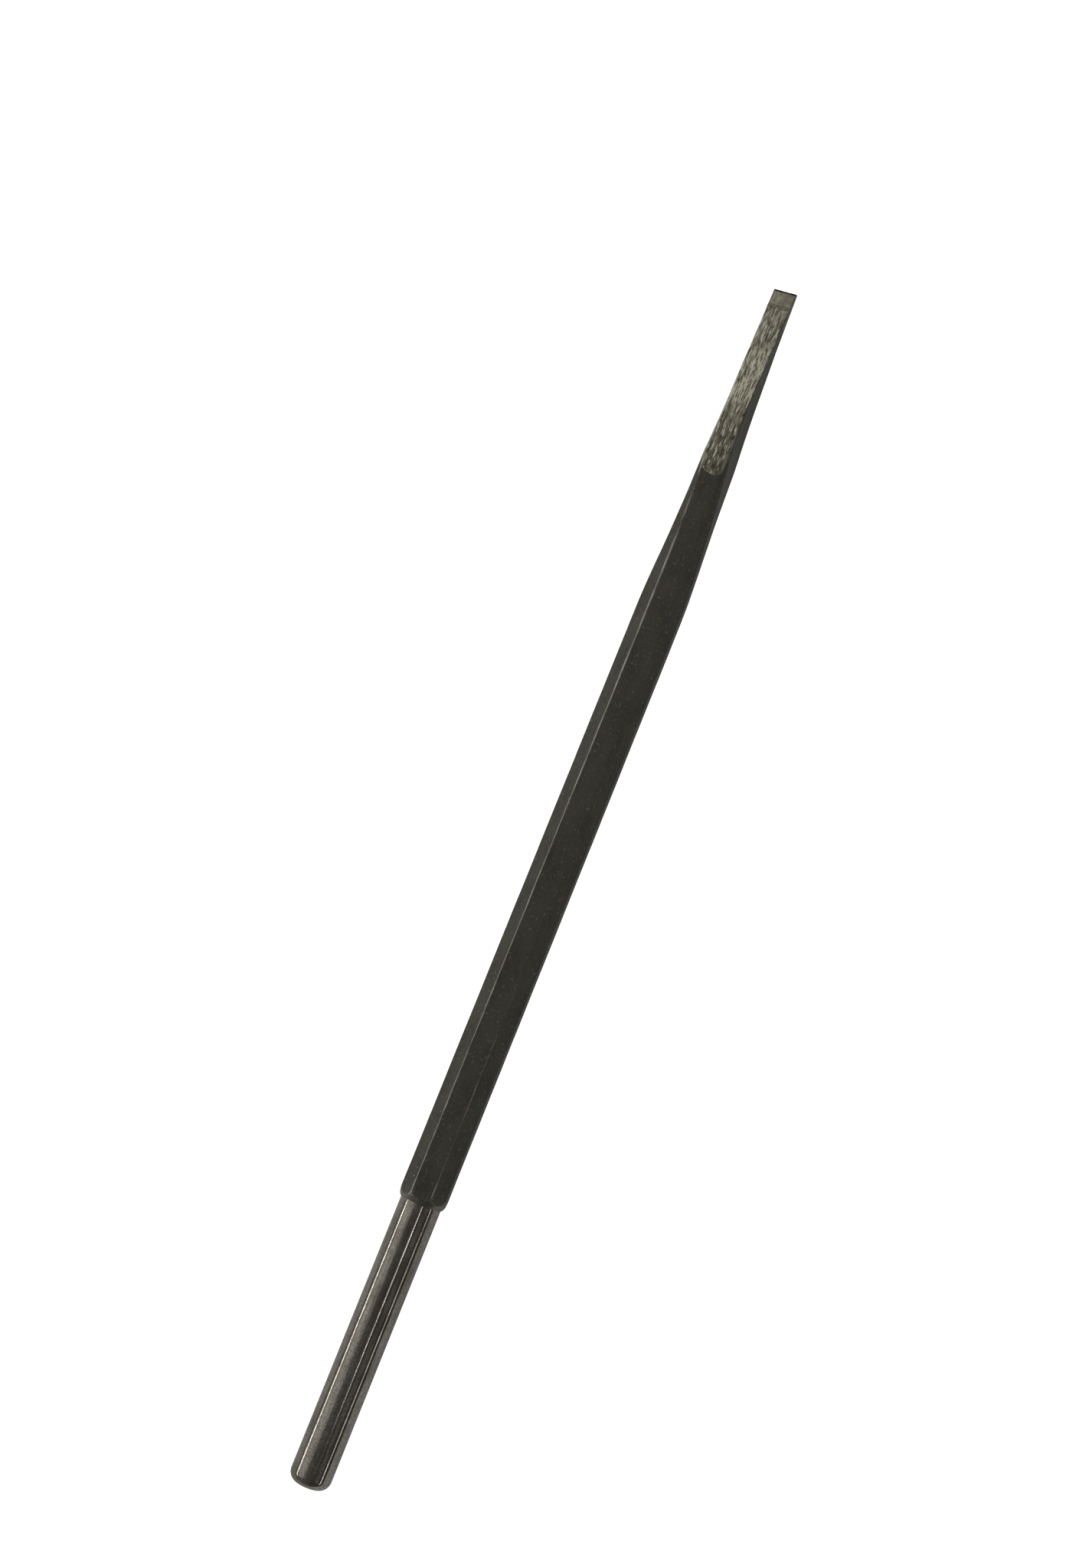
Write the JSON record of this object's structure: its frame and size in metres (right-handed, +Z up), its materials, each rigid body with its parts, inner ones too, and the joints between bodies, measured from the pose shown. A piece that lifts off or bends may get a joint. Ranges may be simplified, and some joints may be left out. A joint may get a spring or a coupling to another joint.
{
  "type": "cold chisel",
  "caption": "Long one-piece steel chisel: narrow flat blade with a brazed hard-metal plate, octagonal bar and round driving shank.",
  "frame": {"origin": "on the tool's axis at the shoulder, where the round shank leaves the octagonal bar", "axes": "+X along the axis to the cutting edge, +Y along the cutting edge, +Z up, out of the bar's top flat"},
  "size_m": [0.3845, 0.014, 0.014],
  "materials": {
    "forged_steel": "dark forge scale on the bar, coarse ground blade faces, fine turned and worn shank",
    "hard_metal": "fine ground, dull grey",
    "braze": "ground flush and tarnished brown"
  },
  "bodies": {
    "root": {"chisel_body": "forged_steel", "carbide_tip": "hard_metal", "braze_joint": "braze"}
  },
  "joints": []
}
